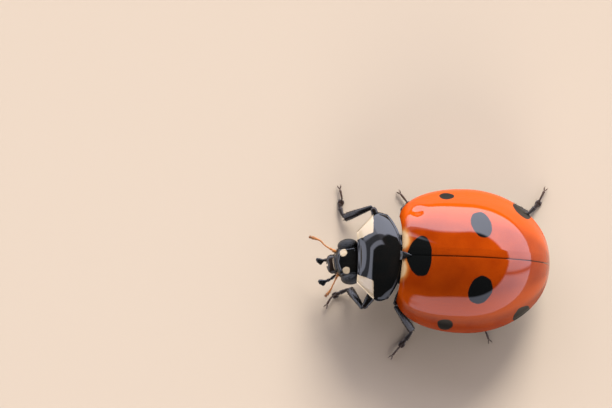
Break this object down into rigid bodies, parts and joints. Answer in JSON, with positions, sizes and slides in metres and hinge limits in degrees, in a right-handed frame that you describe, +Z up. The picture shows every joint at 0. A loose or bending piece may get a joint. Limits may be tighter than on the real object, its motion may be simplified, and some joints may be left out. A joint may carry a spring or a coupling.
{
  "type": "seven-spot ladybird",
  "caption": "Still, life-size ladybird standing on its feet, with a domed orange-red wing case with black spots, a black shield and head with cream marks, bent legs and short clubbed antennae.",
  "frame": {"origin": "on the floor, under the middle of the model's box", "axes": "+Z up; the beetle faces -Y, its left side is +X"},
  "size_m": [0.0062, 0.0088, 0.0035],
  "materials": {
    "wing_case": "glossy orange-red shell with round black spots",
    "black_shell": "glossy finely pitted black shell with cream corner patches",
    "eye": "glossy black, finely faceted",
    "leg": "satin brown-black with short pale hairs",
    "feeler": "satin orange-brown, darker at the club"
  },
  "bodies": {
    "root": {"head": "black_shell", "labrum": "black_shell", "eye_left": "eye", "eye_right": "eye", "antenna_left": "feeler", "antenna_right": "feeler", "palp_left": "leg", "palp_right": "leg", "pronotum": "black_shell", "prothorax": "black_shell", "scutellum": "black_shell", "elytron_left": "wing_case", "elytron_right": "wing_case", "thorax": "black_shell", "abdomen": "black_shell", "femur_front_left": "leg", "tibia_front_left": "leg", "tarsus_front_left": "leg", "femur_front_right": "leg", "tibia_front_right": "leg", "tarsus_front_right": "leg", "femur_middle_left": "leg", "tibia_middle_left": "leg", "tarsus_middle_left": "leg", "femur_middle_right": "leg", "tibia_middle_right": "leg", "tarsus_middle_right": "leg", "femur_hind_left": "leg", "tibia_hind_left": "leg", "tarsus_hind_left": "leg", "femur_hind_right": "leg", "tibia_hind_right": "leg", "tarsus_hind_right": "leg"}
  },
  "joints": []
}
